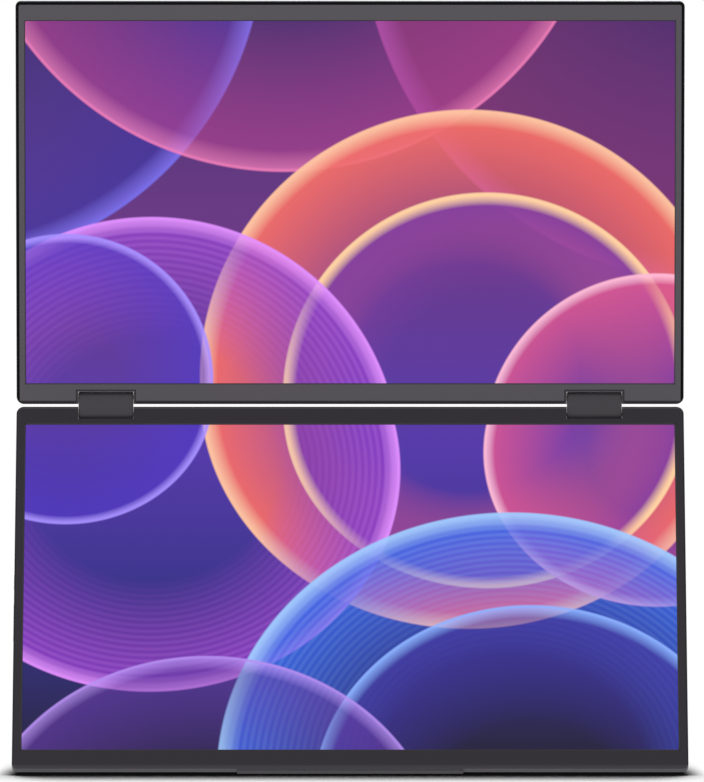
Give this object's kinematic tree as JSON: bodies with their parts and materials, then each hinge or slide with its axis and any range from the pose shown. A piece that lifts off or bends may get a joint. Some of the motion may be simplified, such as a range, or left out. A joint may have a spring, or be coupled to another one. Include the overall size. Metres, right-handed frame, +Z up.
{
  "type": "laptop screen extender",
  "caption": "Folding stack of wide flat screens joined by two-axle hinge blocks, with a rear stand and a rubber foot strip.",
  "frame": {"origin": "middle of the flat contact of the front foot strip on the surface that the object stands on", "axes": "+Z up, +Y towards the back, +X to the right as seen by someone who looks at the screens"},
  "size_m": [0.3534, 0.1564, 0.3941],
  "materials": {
    "upper_frame": "satin dark grey",
    "lower_frame": "satin dark grey",
    "rear_shell": "fine bead-blasted and anodised dark grey",
    "screen_glass": "glossy lit panel",
    "clear_guide": "clear acrylic with white films",
    "led_strip": "white and pale yellow",
    "sheet_metal": "plain sheet steel",
    "circuit_board": "green solder mask",
    "hinge_steel": "oiled steel",
    "hinge_cover_paint": "satin dark grey",
    "flat_cable": "flat black",
    "black_plastic": "moulded black",
    "key_plastic": "moulded dark grey",
    "foot_rubber": "matt dark grey rubber",
    "stand_metal": "fine bead-blasted and anodised dark grey"
  },
  "bodies": {
    "lower_screen": {"lower_rear_cover": "rear_shell", "lower_front_bezel": "lower_frame", "lower_lcd_panel": "screen_glass", "lower_light_guide": "clear_guide", "lower_led_bar": "led_strip", "lower_backlight_tray": "sheet_metal", "lower_driver_board": "circuit_board", "lower_hinge_brackets": "hinge_steel", "lower_hinge_axles": "hinge_steel", "lower_hinge_screws": "hinge_steel", "lower_hinge_nuts": "hinge_steel", "lower_hinge_gears": "hinge_steel", "lower_signal_cable": "flat_cable", "lower_panel_cable": "flat_cable", "main_board": "circuit_board", "board_screws": "hinge_steel", "data_ports": "sheet_metal", "video_port": "sheet_metal", "key_board": "circuit_board", "key_switches": "black_plastic", "speakers": "black_plastic", "foot_strip": "foot_rubber", "stand_pins": "hinge_steel"},
    "hinge_blocks": {"left_hinge_cover": "hinge_cover_paint", "right_hinge_cover": "hinge_cover_paint", "hinge_end_caps": "hinge_cover_paint", "hinge_links": "hinge_steel", "idler_pins": "hinge_steel", "friction_barrels": "hinge_steel", "spring_washers": "hinge_steel", "block_signal_cable": "flat_cable"},
    "upper_screen": {"upper_rear_cover": "rear_shell", "upper_front_bezel": "upper_frame", "upper_lcd_panel": "screen_glass", "upper_light_guide": "clear_guide", "upper_led_bar": "led_strip", "upper_backlight_tray": "sheet_metal", "upper_driver_board": "circuit_board", "upper_hinge_brackets": "hinge_steel", "upper_hinge_axles": "hinge_steel", "upper_hinge_screws": "hinge_steel", "upper_hinge_nuts": "hinge_steel", "upper_hinge_gears": "hinge_steel", "upper_notch_trims": "hinge_cover_paint", "upper_signal_cable": "flat_cable"},
    "first_idlers": {"first_idler_gears": "hinge_steel"},
    "second_idlers": {"second_idler_gears": "hinge_steel"},
    "stand": {"stand_plate": "stand_metal", "stand_foot": "foot_rubber"},
    "power_key": {"power_button": "key_plastic"},
    "menu_key": {"menu_rocker": "key_plastic"}
  },
  "joints": [
    {"name": "lower_hinge", "type": "hinge", "parent": "lower_screen", "child": "hinge_blocks", "pos_m": [0, 0.11878, 0.1748], "axis": [1, 0, 0], "range_deg": [-62.5, 72.5]},
    {"name": "upper_hinge", "type": "hinge", "parent": "hinge_blocks", "child": "upper_screen", "pos_m": [0, 0.12148, 0.18338], "axis": [1, 0, 0], "range_deg": [-62.5, 72.5]},
    {"name": "first_idler_spin", "type": "hinge", "parent": "hinge_blocks", "child": "first_idlers", "pos_m": [0, 0.11968, 0.17766], "axis": [1, 0, 0], "range_deg": [-62.5, 72.5]},
    {"name": "second_idler_spin", "type": "hinge", "parent": "hinge_blocks", "child": "second_idlers", "pos_m": [0, 0.12058, 0.18052], "axis": [1, 0, 0], "range_deg": [-72.5, 62.5]},
    {"name": "stand_hinge", "type": "hinge", "parent": "lower_screen", "child": "stand", "pos_m": [0, 0.08653, 0.12413], "axis": [1, 0, 0], "range_deg": [-62.4, 42.5]},
    {"name": "power_press", "type": "slide", "parent": "lower_screen", "child": "power_key", "axis": [1, 0, 0], "range_m": [0, 0.0004], "stiffness_N_per_m": 2000, "springref_m": -0.0003},
    {"name": "menu_tip", "type": "hinge", "parent": "lower_screen", "child": "menu_key", "pos_m": [-0.1739, 0.04766, 0.07322], "axis": [0, -0.8192, 0.5736], "range_deg": [-2, 2], "stiffness_Nm_per_rad": 0.4}
  ],
  "couplings": [
    {"joint": "upper_hinge", "follows": "lower_hinge", "ratio": 1},
    {"joint": "first_idler_spin", "follows": "lower_hinge", "ratio": 1},
    {"joint": "second_idler_spin", "follows": "lower_hinge", "ratio": -1}
  ]
}
